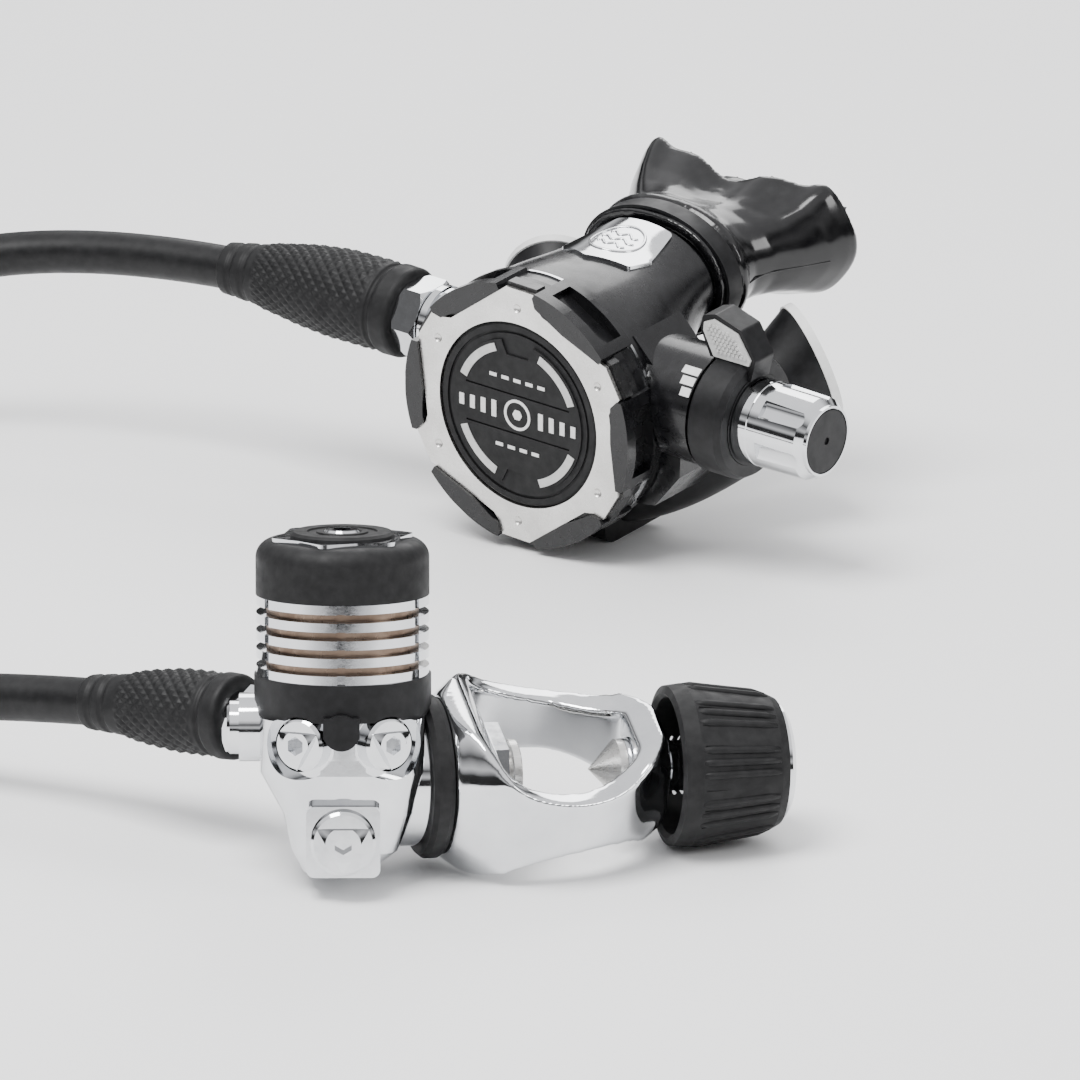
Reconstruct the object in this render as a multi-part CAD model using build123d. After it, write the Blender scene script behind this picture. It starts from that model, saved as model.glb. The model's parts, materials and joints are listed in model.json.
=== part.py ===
from build123d import *
import os
from math import cos, pi, radians, sin, tan

# Scuba regulator set: a yoke first stage and a second stage joined by a low-pressure hose.
# Millimetres, +Z up, both stages resting on the floor at Z = 0.
#
# Each stage is drawn in a frame of its own and then placed.
#   second stage: X to the diver's left hand along the valve barrel, Y from the cover to the
#                 mouthpiece, Z up, origin at the centre of the cover plate's front
#   first stage:  Z along the body, Y to the back, origin on the body axis at the chin

# ---------------------------------------------------------------- placing on the floor
SECOND_AT = (-7.5, 97.2, 37.95)
SECOND_TURN = (6.5, 4.7, -37.4)      # nod forward, right side down, heading
FIRST_AT = (-48.5, -165.8, 2.9)
FIRST_LEAN = -8.4                    # leans back on its chin

# ---------------------------------------------------------------- second stage sizes
PLATE_R = 35.4                       # tips of the cover plate's lobes
PLATE_T = 1.2
BUTTON_R = 25.2
BUTTON_PANEL_R = 20.7
COVER_DEPTH = 12.0                   # cover ring, front to joint
COVER_R = 34.9
CASE_R = 35.3
CASE_WALL = 2.0
BARREL_Y = 25.0                      # valve barrel axis, parallel to X
BARREL_Z = 5.5
BARREL_R = 15.5
TUBE_R = 8.0                         # valve tube
TUBE_BORE = 6.0
KNOB_R = 11.3
KNOB_X0 = 58.3
KNOB_X1 = 80.5
LEVER_X0 = 47.4
VALVE_Y = 34.5                       # exhaust valve under the bowl
NECK_Y = 56.0
NECK_Z = 20.0
NECK_A = 21.0                        # half width of the oval mouthpiece neck
NECK_B = 15.0                        # half height
LEVER_PIVOT_X = 13.0                 # demand lever, on the barrel axis
NUT_AF = 19.0                        # hose swivel nut, across flats

# ---------------------------------------------------------------- first stage sizes
BODY_R = 20.5
COLLAR_Z = 37.0
RIBS_Z = 46.0
CAP_Z = 65.0
TOP_Z = 78.0
YOKE_TURN = 14.5                     # yoke axis, away from the body's X
YOKE_TILT = 24.0                     # window, rolled about the yoke axis
YOKE_Z = 20.4
YOKE_START = 23.0
WINDOW_START = 33.5
WINDOW_END = 69.5
YOKE_END = 77.0
SEAL_FACE = 42.2
SCREW_TIP = 60.0
SCREW_R = 7.0
SCREW_PITCH = 1.75
KNOB_START = 79.0
KNOB_END = 106.0

# ---------------------------------------------------------------- hose sizes
HOSE_R = 5.75
HOSE_START_X = -53.7                 # second-stage end, on the barrel axis
HOSE_END = 31.9                      # first-stage end, distance from the body axis
FIRST_RUN = 115.0
LAST_RUN = 100.0
HOSE_DROP_POINT = (-222.0, 200.0, 26.0)
HOSE_FLOOR_POINTS = ((-293.0, 125.0), (-312.0, 10.0), (-262.0, -90.0))
FIRST_SLEEVE = 46.0                  # rubber sleeves over the hose's crimped ends
SECOND_SLEEVE = 60.0
END_FIT = 0.05                       # radial clearance of running fits

os.makedirs("parts", exist_ok=True)


# ---------------------------------------------------------------- helpers
def along_x(x, y=BARREL_Y, z=BARREL_Z):
    """Plane whose normal is +X; its own X is +Y."""
    return Plane(origin=(x, y, z), x_dir=(0, 1, 0), z_dir=(1, 0, 0))


def front_plane(y, x=0, z=0):
    """Plane facing the front (-Y), with X to the right and Z up."""
    return Plane(origin=(x, y, z), x_dir=(1, 0, 0), z_dir=(0, -1, 0))


def flat_plane(z, x=0, y=0):
    return Plane(origin=(x, y, z), x_dir=(1, 0, 0), z_dir=(0, 0, 1))


def rod(plane, radius, length):
    return extrude(plane * Circle(radius), length)


def pipe(plane, outer, inner, length):
    return extrude(plane * (Circle(outer) - Circle(inner)), length)


def hex_bar(plane, across_flats, length):
    return extrude(plane * RegularPolygon(across_flats / 2, 6, major_radius=False), length)


def turned(plane, profile):
    """Solid of revolution about the plane's normal, from (radius, height) points."""
    outline = Polyline(*[(r, 0, h) for r, h in profile], close=True)
    return plane.location * revolve(make_face(outline), Axis.Z)


def polar(radius, angle):
    return (radius * cos(radians(angle)), radius * sin(radians(angle)))


def prism(plane, points, depth):
    return extrude(plane * make_face(Polyline(*points, close=True)), depth)


def coil_spring(plane, radius, wire, pitch, length):
    path = Helix(pitch=pitch, height=length, radius=radius)
    section = Plane(origin=path @ 0, z_dir=path % 0) * Circle(wire)
    return plane.location * sweep(section, path=path, is_frenet=True)


def oval(plane, half_width, half_height, length):
    return extrude(plane * Ellipse(half_width, half_height), length)


# ---------------------------------------------------------------- second stage, cover
def plate_outline(grow=0.0):
    """Six lobes with straight outer edges, and a slanting chord at each claw between them."""
    points = []
    for turn in range(0, 360, 60):
        for radius, angle in ((30.6, 15.0), (32.2, 18.8), (PLATE_R, 21.5), (PLATE_R, 36.0)):
            points.append(polar(radius + grow, turn + angle))
    return points


def cover_plate():
    plate = prism(front_plane(PLATE_T), plate_outline(), PLATE_T)
    plate -= rod(front_plane(PLATE_T + 1), BUTTON_R + 0.35, PLATE_T + 3)
    for turn in range(30, 390, 60):
        x, z = polar(29.9, turn)
        plate -= Pos(x, -0.85, z) * Sphere(1.5)
    return plate


def cover_ring():
    joint = front_plane(COVER_DEPTH)
    ring = turned(joint, [(31.0, 0), (CASE_R - 0.3, 0), (COVER_R + 0.4, 4), (COVER_R, 10.6), (31.0, 10.6)])
    lobes = prism(front_plane(4.6), plate_outline(grow=1.1), 3.3)
    ring += lobes - rod(front_plane(5), 26.2, 6)
    for turn in range(0, 360, 60):
        claw = Rot(0, -turn, 0) * Pos(33.4, 5.6, 0) * Box(5.6, 13.0, 25.0)
        claw -= Rot(0, -turn, 0) * Pos(34.6, 6.4, 0) * Box(3.6, 7.4, 19.0)
        ring += claw & rod(front_plane(COVER_DEPTH), CASE_R + 1.0, 13.0)
        ring -= Rot(0, -turn, 0) * Pos(35.9, 6.4, 0) * Box(6.2, 7.4, 19.0)
    ring -= prism(front_plane(PLATE_T), plate_outline(grow=0.12), 4)
    ring -= rod(front_plane(13), 31.0, 9.3)
    ring -= rod(front_plane(6), 27.5, 6)
    web = pipe(front_plane(9.0), 31.1, 6.0, 1.0)
    for turn in range(0, 360, 60):
        x, z = polar(19.0, turn)
        web -= rod(front_plane(10, x, z), 5.5, 3)
    return ring + web


def panel_outline():
    """Round panel with a trapezoid notch in its top and its bottom."""
    panel = Circle(BUTTON_PANEL_R)
    notch = Polygon((-3.4, 16.2), (3.4, 16.2), (6.2, 22), (-6.2, 22), align=None)
    return panel - notch - Rot(0, 0, 180) * notch


def inlay_arcs():
    """Four short arcs, one in each quadrant of the panel."""
    arcs = Sketch()
    for turn in (0, 90, 180, 270):
        wedge = Polygon((0, 0), polar(30, turn + 22), polar(30, turn + 45), polar(30, turn + 68), align=None)
        arcs += (Circle(19.9) - Circle(17.7)) & wedge
    return arcs


def purge_button():
    body = turned(front_plane(3.4), [(0, 0), (26.8, 0), (26.8, 1.7), (BUTTON_R, 1.7), (BUTTON_R, 2.7),
                                     (24.6, 3.1), (23.1, 3.1), (23.1, 2.5), (22.3, 2.5), (22.3, 3.0), (0,
                                                                                                       3.0)])
    body += extrude(front_plane(0.45) * panel_outline(), 0.55)
    body -= extrude(front_plane(0.5) * inlay_arcs(), 2)
    for z in (-5.4, 5.4):
        body -= Pos(0, 0, z) * Box(33.5, 0.7, 0.5)
    body += rod(front_plane(9.3), 4.0, 6.0)
    return body


def purge_spring():
    return coil_spring(front_plane(7.6), 5.6, 0.35, 1.5, 3.7)


def purge_inlays():
    return extrude(front_plane(0.45) * inlay_arcs(), 0.75)


def diaphragm():
    """Silicone ring with one convolution, clamped between cover and case."""
    profile = [(14.6, 2.6), (18, 2.6), (20, 3.5), (24, 3.5), (26, 1.2), (30.7, 1.2), (30.7, 0), (25.2, 0),
               (23.4, 2.6), (20.4, 2.6), (18.6, 1.7), (14.6, 1.7)]
    return turned(front_plane(12.9), profile)


def diaphragm_disc():
    disc = turned(front_plane(11.0), [(0, 0), (14.0, 0), (14.3, 0.9), (12.5, 1.3), (0, 1.3)])
    return disc


def case_ring():
    return pipe(front_plane(COVER_DEPTH + 0.8), CASE_R + 0.15, 31.2, 0.8)


# ---------------------------------------------------------------- second stage, case
def case_skin(inset):
    """Bowl that runs from the round cover joint to the oval neck."""
    stations = [
        (12.8, 0.0, 35.0, 35.0),
        (22.0, 0.5, 34.6, 34.4),
        (34.0, 7.0, 29.5, 27.0),
        (46.0, 15.5, 23.0, 18.6),
        (NECK_Y, NECK_Z, NECK_A, NECK_B),
    ]
    sections = Sketch()
    for y, z, a, b in stations:
        sections += front_plane(y, 0, z) * Ellipse(a - inset, b - inset)
    return loft(sections)


def shoulder():
    """Wedge on the right of the bowl that carries the lever barrel."""
    points = [(26, 24), (38.5, 11), (41.5, 3), (41.0, -12), (33, -22), (20, -24)]
    wedge = extrude(front_plane(35) * make_face(Polyline(*points, close=True)), 20)
    wedge = chamfer(wedge.edges().filter_by(Axis.Y).group_by(Axis.X)[-1], 2.0)
    return wedge


def case_outside():
    body = case_skin(0) + shoulder() + rod(along_x(-36.0), 10.6, 20) + rod(along_x(10.0), BARREL_R, 36.8)
    return body - rod(front_plane(COVER_DEPTH + 0.8), CASE_R + 1.4, 14)


def case():
    body = case_outside()
    body += oval(front_plane(NECK_Y + 9.5, 0, NECK_Z), NECK_A - 1.2, NECK_B - 1.2, 10)
    body -= case_skin(CASE_WALL)
    body -= rod(front_plane(20), 31.3, 12)
    body -= oval(front_plane(NECK_Y + 12, 0, NECK_Z), NECK_A - 3.4, NECK_B - 3.4, 20)
    body -= rod(along_x(-40.0), TUBE_R, 90)
    body -= rod(along_x(36.0), 12.6, 20)
    body += rod(flat_plane(-31.0, 0, VALVE_Y), 9.0, 18.0) - case_skin(CASE_WALL)
    body -= rod(flat_plane(-40.0, 0, VALVE_Y), 7.4, 30.0)
    return body


def case_badge():
    """Curved shield plate let into the top of the case."""
    outline = [(-11, 0), (-12.2, 8), (-9, 21.5), (9, 21.5), (12.2, 8), (11, 0), (0, -4.5)]
    block = extrude(flat_plane(20, 0, 33) * fillet(make_face(Polyline(*outline, close=True)).vertices(),
                                                   1.6), 24)
    outer = case_skin(-0.9) & block
    return outer - case_skin(0.0)


def valve_tube():
    tube = pipe(along_x(-36.0), TUBE_R - END_FIT / 2, TUBE_BORE, 80.0)
    tube -= Pos(LEVER_PIVOT_X, BARREL_Y, BARREL_Z) * Cylinder(1.25, 40)
    tube -= rod(along_x(-17.0), TUBE_BORE, 3)
    return tube


def valve_orifice():
    seat = turned(along_x(-20.0), [(3.0, 0), (TUBE_BORE - END_FIT, 0), (TUBE_BORE - END_FIT, 5), (4.0, 5),
                                   (3.6, 7),
                                   (3.0, 7)])
    return seat


def poppet():
    stem = rod(along_x(-12.0), 4.6, 3) + rod(along_x(-9.2), 3.0, 26) + rod(along_x(3.0), 5.5, 6.0)
    return stem


def poppet_seat():
    return rod(along_x(-12.9), 4.3, 0.9)


def poppet_spring():
    return coil_spring(along_x(18.2), 4.3, 0.5, 1.7, 5.4)


def adjusting_piston():
    return rod(along_x(26.0), TUBE_BORE - END_FIT, 6) + rod(along_x(31.9), 3.2, 10)


def demand_lever():
    """Pressed fork: two cheeks beside the valve tube, pivot studs, and a tongue to the disc."""
    lever = Part()
    for side in (-1, 1):
        z = BARREL_Z + side * 8.9
        cheek = [(9.6, 14.6), (13.5, 14.6), (15.6, 27.5), (10.4, 27.5)]
        lever += extrude(flat_plane(z - 0.4) * make_face(Polyline(*cheek, close=True)), 0.8)
        stud = rod(flat_plane(BARREL_Z + side * 7.7 - 1.3, LEVER_PIVOT_X, BARREL_Y), 1.2, 2.6)
        lever += stud
    lever += Pos(11.2, 15.2, BARREL_Z) * Box(3.2, 1.2, 18.6)
    tongue = [(-3.4, 11.4), (-1.4, 11.4), (12.0, 14.6), (12.0, 15.8), (9.6, 15.8), (-3.4, 12.6)]
    lever += extrude(flat_plane(BARREL_Z - 4.0) * make_face(Polyline(*tongue, close=True)), 5.0)
    return lever


def adjusting_knob():
    """Fluted knob with a chamfered end."""
    body = turned(along_x(KNOB_X0), [(0, 0), (KNOB_R, 0), (KNOB_R, 4.2), (KNOB_R - 0.25, 4.4),
                                     (KNOB_R - 0.25, 4.8),
                                     (KNOB_R, 5.0), (KNOB_R - 0.3, 19.4), (KNOB_R - 2.0, 21.2),
                                     (KNOB_R - 2.0, 22.2),
                                     (0, 22.2)])
    for turn in range(15, 375, 60):
        y, z = polar(KNOB_R + 4.2, turn)
        flute = Pos(70.0 + 4.6, BARREL_Y + y, BARREL_Z + z) * Rot(0, 90, 0) * Cylinder(5.2, 18)
        body -= flute
    body -= rod(along_x(KNOB_X1 - 1.0), KNOB_R - 2.6, 3)
    body += rod(along_x(43.6), 5.5, KNOB_X0 - 43.6 + 0.5)
    return body


def knob_disc():
    disc = turned(along_x(KNOB_X1 - 0.95), [(0, 0), (KNOB_R - 2.7, 0), (KNOB_R - 2.7, 0.7), (KNOB_R - 3.1,
                                                                                             0.9), (0, 0.9)])
    disc -= rod(along_x(KNOB_X1 - 0.6), 1.0, 2)
    return disc


def venturi_lever():
    """Ring that turns on the barrel, with a paddle standing up from it."""
    ring = turned(along_x(LEVER_X0), [(12.2, 0), (15.4, 0), (16.2, 0.8), (16.2, 8.8), (15.2, 10.4), (12.2,
                                                                                                     10.4)])
    paddle = [(-9.6, 22.6), (-8.9, 26.6), (-4.9, 27.8), (3.4, 25.2), (7.9, 17.6), (5.4, 8.0), (-4.4, 8.0),
              (-6.2, 15.0)]
    blade = extrude(front_plane(BARREL_Y + 4.6, 52.3, BARREL_Z) * make_face(Polyline(*paddle,
                                                                                     close=True)), 8.0)
    blade = fillet(blade.edges().filter_by(Axis.Y), 1.2)
    blade -= rod(along_x(LEVER_X0 - 8), 12.2, 30)
    blade -= rod(along_x(LEVER_X0 - 8), BARREL_R + 0.6, 8.0)
    ring += blade
    ring -= extrude(front_plane(BARREL_Y - 2.2, 52.3, BARREL_Z) * pad_outline(0.15), 3)
    return ring


def pad_outline(grow=0.0):
    points = [(-8.5, 22.7), (-8.2, 25.0), (-5.2, 26.4), (2.4, 24.2), (6.6, 17.8), (6.0, 16.2), (-5.2, 16.2)]
    face = make_face(Polyline(*points, close=True))
    if grow:
        face = offset(face, grow, kind=Kind.INTERSECTION)
    return face


def lever_pad():
    return extrude(front_plane(BARREL_Y - 2.25, 52.3, BARREL_Z) * pad_outline(), 1.6)


def lever_bearing():
    """Fixed sleeve inside the lever ring, with the knob shaft's bore."""
    return turned(along_x(0), [(8.05, 36.2), (12.1, 36.2), (12.1, 58.0), (5.56, 58.0), (5.56, 44.2),
                               (8.05, 44.2)])


# ---------------------------------------------------------------- second stage, soft parts
def mouthpiece():
    """Soft silicone bite: oval throat, flared flange and two bite tabs."""
    stations = [
        (57.2, 20.0, NECK_A + 2.0, NECK_B + 2.0),
        (66.0, 20.5, 21.5, 14.6),
        (74.0, 21.0, 25.0, 12.4),
        (83.0, 22.0, 31.0, 12.6),
        (90.0, 22.5, 33.0, 14.0),
    ]
    outer = Sketch()
    inner = Sketch()
    for y, z, a, b in stations:
        outer += front_plane(y, 0, z) * Ellipse(a, b)
        inner += front_plane(y, 0, z) * Ellipse(a - 3.2, b - 3.2)
    body = loft(outer) - loft(inner)
    body -= oval(front_plane(NECK_Y + 9.6, 0, NECK_Z), NECK_A - 1.15, NECK_B - 1.15, 12)
    for side in (-1, 1):
        body += Pos(side * 24.4, 90.5, 22.0) * Box(12.4, 9.0, 3.4)
        body += Pos(side * 21.5, 96.2, 22.0) * Box(15.0, 3.0, 12.0)
    return body


def clamp_band():
    outer = oval(front_plane(64.4, 0, NECK_Z), NECK_A + 3.1, NECK_B + 2.9, 5.6)
    outer -= oval(front_plane(65, 0, NECK_Z), NECK_A + 2.1, NECK_B + 2.1, 8)
    outer += Pos(0, 61.6, NECK_Z - NECK_B - 3.9) * Box(6.0, 4.4, 3.0)
    outer -= oval(front_plane(65, 0, NECK_Z), NECK_A + 2.1, NECK_B + 2.1, 8)
    return outer


def horn_stations(side):
    """Centre, half width, half height and outward turn of each section of a tee horn."""
    return [
        ((side * 6.0, 30.0, -31.0), 10.0, 7.6, 62.0),
        ((side * 20.0, 38.0, -25.0), 11.5, 9.5, 52.0),
        ((side * 31.0, 53.0, -14.0), 12.5, 12.5, 42.0),
        ((side * 41.0, 70.0, 1.0), 14.0, 16.0, 30.0),
    ]


def horn(side, inset, extra=0.0):
    sections = Sketch()
    stations = horn_stations(side)
    for index, (centre, a, b, turn) in enumerate(stations):
        out = side * turn
        normal = Vector(sin(radians(out)), cos(radians(out)) * cos(radians(22)),
                        cos(radians(out)) * sin(radians(22)))
        x_dir = Vector(cos(radians(out)), -sin(radians(out)), 0)
        push = extra if index == len(stations) - 1 else 0.0
        plane = Plane(origin=Vector(centre) + normal * push, x_dir=x_dir, z_dir=normal)
        sections += plane * Ellipse(a - inset, b - inset)
    return loft(sections)


def exhaust_tee():
    chamber = Pos(0, 31.5, -33.0) * Box(30.0, 28.0, 13.0)
    chamber = fillet(chamber.edges().filter_by(Axis.X), 4.0)
    tee = chamber
    for side in (-1, 1):
        tee += horn(side, 0)
    for side in (-1, 1):
        tee -= horn(side, 1.8, extra=0.2)
    tee -= rod(flat_plane(-37.6, 0, VALVE_Y), 9.6, 40.0)
    tee -= case_outside()
    tee -= case_skin(-0.05)
    return tee


def tee_rim(side):
    centre, a, b, turn = horn_stations(side)[-1]
    out = side * turn
    normal = Vector(sin(radians(out)), cos(radians(out)) * cos(radians(22)),
                    cos(radians(out)) * sin(radians(22)))
    x_dir = Vector(cos(radians(out)), -sin(radians(out)), 0)
    plane = Plane(origin=Vector(centre), x_dir=x_dir, z_dir=normal)
    return extrude(plane * (Ellipse(a + 0.5, b + 0.5) - Ellipse(a - 2.4, b - 2.4)), 2.4)


def exhaust_valve():
    return turned(flat_plane(-32.6, 0, VALVE_Y), [(0, 0), (8.2, 0), (8.8, 0.6), (8.6, 1.5), (0, 1.5)])


# ---------------------------------------------------------------- second stage, hose end
def inlet_fitting():
    """Ribbed inlet that screws into the valve tube's left end."""
    profile = [(3.0, 0), (TUBE_R + 1.6, 0), (TUBE_R + 1.6, 1.0)]
    for rib in range(3):
        x = 1.0 + rib * 2.9
        profile += [(10.2, x), (10.2, x + 1.9), (9.0, x + 1.9), (9.0, x + 2.9)]
    profile += [(7.0, 9.7), (7.0, 12.6), (3.0, 12.6)]
    return turned(Plane(origin=(-36.1, BARREL_Y, BARREL_Z), x_dir=(0, 1, 0), z_dir=(-1, 0, 0)), profile)


def swivel_nut():
    plane = Plane(origin=(-46.0, BARREL_Y, BARREL_Z), x_dir=(0, 1, 0), z_dir=(-1, 0, 0))
    nut = hex_bar(plane, NUT_AF, 7.6) & turned(plane, [(0, 0), (9.8, 0), (11.2, 1.3), (11.2, 6.3), (9.8,
                                                                                                    7.6),
                                                                                                    (0, 7.6)])
    nut -= rod(Plane(origin=(-45.0, BARREL_Y, BARREL_Z), x_dir=(0, 1, 0), z_dir=(-1, 0, 0)), 7.1, 10)
    return nut


def hose_sleeve(plane, length, radius):
    """Rubber strain relief over the crimp: thick at the fitting, thin at the hose."""
    profile = [(HOSE_R + 0.02, 0), (radius - 1.0, 0), (radius, 1.6), (radius - 0.2, 0.14 * length),
               (0.85 * radius, 0.45 * length), (0.66 * radius, 0.82 * length), (0.56 * radius, length),
               (HOSE_R + 0.02, length)]
    return turned(plane, profile)


# ---------------------------------------------------------------- first stage, body
def yoke_frame(distance=0.0):
    """Plane on the yoke axis; normal outward, X across the arms, Y through the window."""
    c = cos(radians(YOKE_TURN))
    s = sin(radians(YOKE_TURN))
    up = cos(radians(90 - YOKE_TILT))
    out = sin(radians(90 - YOKE_TILT))
    return Plane(origin=(distance * c, distance * s, YOKE_Z), x_dir=(-out * s, out * c, up), z_dir=(c, s, 0))


def port_frame(angle, distance, z):
    """Plane on a radial port axis; angle 0 is +X, 90 is the back."""
    x, y = polar(distance, angle)
    return Plane(origin=(x, y, z), x_dir=(0, 0, 1), z_dir=(x, y, 0))


def rounded_box(width, depth, radius):
    return RectangleRounded(width, depth, radius)


LP_PORTS = ((-119.0, 31.5), (-57.0, 31.5))       # front plugs: angle, height
SIDE_PORT = (180.0, 33.0)                        # plug on the left
HOSE_PORT = (140.5, 32.0)                        # feeds the second stage
HP_PORT = (-89.0, 8.6)
LP_FACE = 18.4                                   # distance of each plug's seat from the body axis
SIDE_FACE = 24.5
HP_FACE = 20.0
HOSE_FACE = 21.0


def port_block():
    sections = Sketch()
    for z, x, y, w, d, r in ((0.0, -1.5, -1.0, 15.5, 25.0, 4.0), (5.0, 0.5, -1.0, 25.0, 29.0, 6.0),
                             (14.0, 1.5, -0.5, 31.0, 32.5, 8.0), (24.0, 0.0, 0.0, 39.0, 36.5, 9.0)):
        sections += flat_plane(z, x, y) * rounded_box(w, d, r)
    body = loft(sections, ruled=True)
    body += extrude(flat_plane(24.0) * rounded_box(39.0, 36.5, 9.0), COLLAR_Z - 24.0)
    for angle, z in LP_PORTS:
        body += rod(port_frame(angle, 6.0, z), 7.6, LP_FACE - 6.0) & rod(flat_plane(0), 40, COLLAR_Z)
    body += port_bosses()
    body += rod(yoke_frame(0), 16.5, 17.6)
    body += rod(flat_plane(28), BODY_R - 0.4, COLLAR_Z - 28)
    boss = port_frame(HP_PORT[0], 9.5, HP_PORT[1])
    body += extrude(boss * rounded_box(17.0, 17.5, 2.0), HP_FACE - 9.5)
    body -= rod(flat_plane(12.0), 12.0, 40)
    body -= rod(flat_plane(5.0), 4.0, 12)
    for angle, z in LP_PORTS:
        body -= rod(port_frame(angle, 14.0, z), 4.8, 12)
    for (angle, z), face in ((SIDE_PORT, SIDE_FACE), (HOSE_PORT, HOSE_FACE), (LP_PORTS[0], LP_FACE),
                             (LP_PORTS[1], LP_FACE)):
        body -= rod(port_frame(angle, 13.0, z), 4.8, 14)
        body -= rod(port_frame(angle, face, z), 8.3, 12)
    body -= rod(port_frame(HP_PORT[0], 13.0, HP_PORT[1]), 5.4, 12)
    body -= rod(yoke_frame(0), 9.0, 30)
    body -= rod(yoke_frame(17.7), 30.0, 30)
    return body


def port_bosses():
    """Round bosses of the side port and the hose port."""
    side = rod(port_frame(SIDE_PORT[0], 6.0, SIDE_PORT[1]), 8.2, SIDE_FACE - 6.0)
    return side + rod(port_frame(HOSE_PORT[0], 6.0, HOSE_PORT[1]), 8.2, HOSE_FACE - 6.0)


def port_plug(angle, z, face, head_r, thread_r):
    """Plug with a round head, a three-sided raised face and a hexagon socket."""
    frame = port_frame(angle, face, z)
    head = turned(frame, [(0, 0), (head_r, 0), (head_r, 2.2), (head_r - 0.7, 2.9), (0, 2.9)])
    peak = extrude(port_frame(angle, face + 2.8, z) * Rot(0, 0, 60) * RegularPolygon(head_r * 0.93, 3), 1.3)
    peak = peak & turned(frame, [(0, 0), (head_r, 2.4), (head_r - 0.5, 3.3), (head_r * 0.45, 4.3), (0, 4.3)])
    shank = rod(port_frame(angle, face - 4.5, z), thread_r - END_FIT, 4.6)
    socket = hex_bar(port_frame(angle, face + 0.6, z), 4.0, 6)
    return head + peak + shank - socket


def port_plugs():
    plugs = Part()
    for (angle, z), face in ((LP_PORTS[0], LP_FACE), (LP_PORTS[1], LP_FACE), (SIDE_PORT, SIDE_FACE)):
        plugs += port_plug(angle, z, face, 6.4, 4.8)
    return plugs + port_plug(HP_PORT[0], HP_PORT[1], HP_FACE, 7.7, 5.4)


def collar():
    """Black sleeve with a rounded tab over the front of the block."""
    sleeve = pipe(flat_plane(COLLAR_Z), BODY_R + 0.5, 16.0, RIBS_Z - COLLAR_Z)
    tab = Pos(0, -BODY_R - 0.2, 36.0) * Box(8.6, 3.4, 5.0) + rod(front_plane(-BODY_R + 1.5, 0, 35.0), 4.3,
                                                                 3.4)
    sleeve += tab - rod(flat_plane(20), BODY_R - 0.35, 18)
    sleeve -= port_bosses()
    for angle, z in LP_PORTS:
        sleeve -= rod(port_frame(angle, 16.0, z), 6.7, 12)
    return sleeve - rod(yoke_frame(17.4), 20.2, 30)


def rib_barrel():
    """Five cooling fins with four grooves between them."""
    profile = [(15.5, RIBS_Z)]
    fin = 2.2
    gap = 2.0
    for index in range(5):
        z = RIBS_Z + index * (fin + gap)
        profile += [(BODY_R, z), (BODY_R, z + fin)]
        if index < 4:
            profile += [(17.6, z + fin), (17.6, z + fin + gap)]
    profile += [(15.5, CAP_Z)]
    barrel = turned(flat_plane(0), profile)
    for turn in range(-90, 270, 60):
        x, y = polar(BODY_R, turn)
        barrel -= Pos(x, y, (RIBS_Z + CAP_Z) / 2) * Rot(0, 0, turn) * Box(1.6, 1.9, 22)
    return barrel


def groove_bands():
    """Bronze sleeve segments on the floors of the grooves."""
    bands = Part()
    for index in range(4):
        bands += pipe(flat_plane(RIBS_Z + 2.25 + index * 4.2), 18.1, 17.62, 1.9)
    return bands


def cap():
    """Rubber cap with a rounded shoulder."""
    shell = turned(flat_plane(0), [(0, CAP_Z + 0.05), (BODY_R + 0.1, CAP_Z + 0.05), (BODY_R + 0.1, TOP_Z),
                                   (0, TOP_Z)])
    rim = [e for e in shell.edges().filter_by(GeomType.CIRCLE) if e.center().Z > TOP_Z - 0.1]
    shell = fillet(rim, 4.2)
    shell -= rod(flat_plane(CAP_Z - 1), 16.5, 5)
    shell -= rod(flat_plane(TOP_Z - 1.0), 12.6, 2)
    return shell


def cap_badge():
    """Plate with six rounded lobes round the top disc."""
    outline = [polar(14.2 if step % 2 else 17.6, 30 * step + 15) for step in range(12)]
    plate = extrude(flat_plane(TOP_Z + 0.02) * fillet(make_face(Polyline(*outline,
                                                                         close=True)).vertices(), 2.2), 0.9)
    return plate - rod(flat_plane(70), 12.45, 20)


def top_disc():
    disc = turned(flat_plane(TOP_Z - 0.95), [(0, 0), (12.4, 0), (12.4, 2.3), (11.6, 2.9), (8.4, 2.9),
                                             (8.2, 2.5), (6.2, 2.5),
                                             (6.0, 2.9), (0, 2.9)])
    return disc - rod(flat_plane(TOP_Z - 2), 4.6, 6)


def top_screw():
    head = turned(flat_plane(TOP_Z - 0.9), [(0, 0), (4.5, 0), (4.5, 2.6), (3.9, 3.3), (0, 3.3)])
    return head - hex_bar(flat_plane(TOP_Z + 0.6), 4.4, 3)


# ---------------------------------------------------------------- first stage, inside
def main_spring():
    return coil_spring(flat_plane(49.4), 10.5, 1.4, 4.6, 9.6)


def spring_button():
    return rod(flat_plane(46.1), 12.2, 1.7)


def main_diaphragm():
    return rod(flat_plane(44.4), 15.4, 1.6)


def lifter():
    return rod(flat_plane(42.8), 9.0, 1.5) + rod(flat_plane(24.2), 1.4, 18.7)


def spring_adjuster():
    """Threaded ring above the main spring, turned with a hexagon key."""
    return rod(flat_plane(60.6), 15.4, 4.2) - hex_bar(flat_plane(59), 8.0, 8)


def valve_crown():
    """Orifice that the high-pressure poppet closes from below."""
    return pipe(flat_plane(20.0), 11.9, 2.6, 4.0)


def inlet_poppet():
    return turned(flat_plane(0), [(0, 10.0), (3.6, 10.0), (3.6, 11.0), (2.2, 11.0), (2.2, 16.4), (4.4, 16.4),
                                  (4.4, 19.4), (1.6, 19.9), (1.6, 23.7), (0, 23.7)])


def poppet_return_spring():
    return coil_spring(flat_plane(5.45), 2.9, 0.4, 1.25, 3.7)


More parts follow.
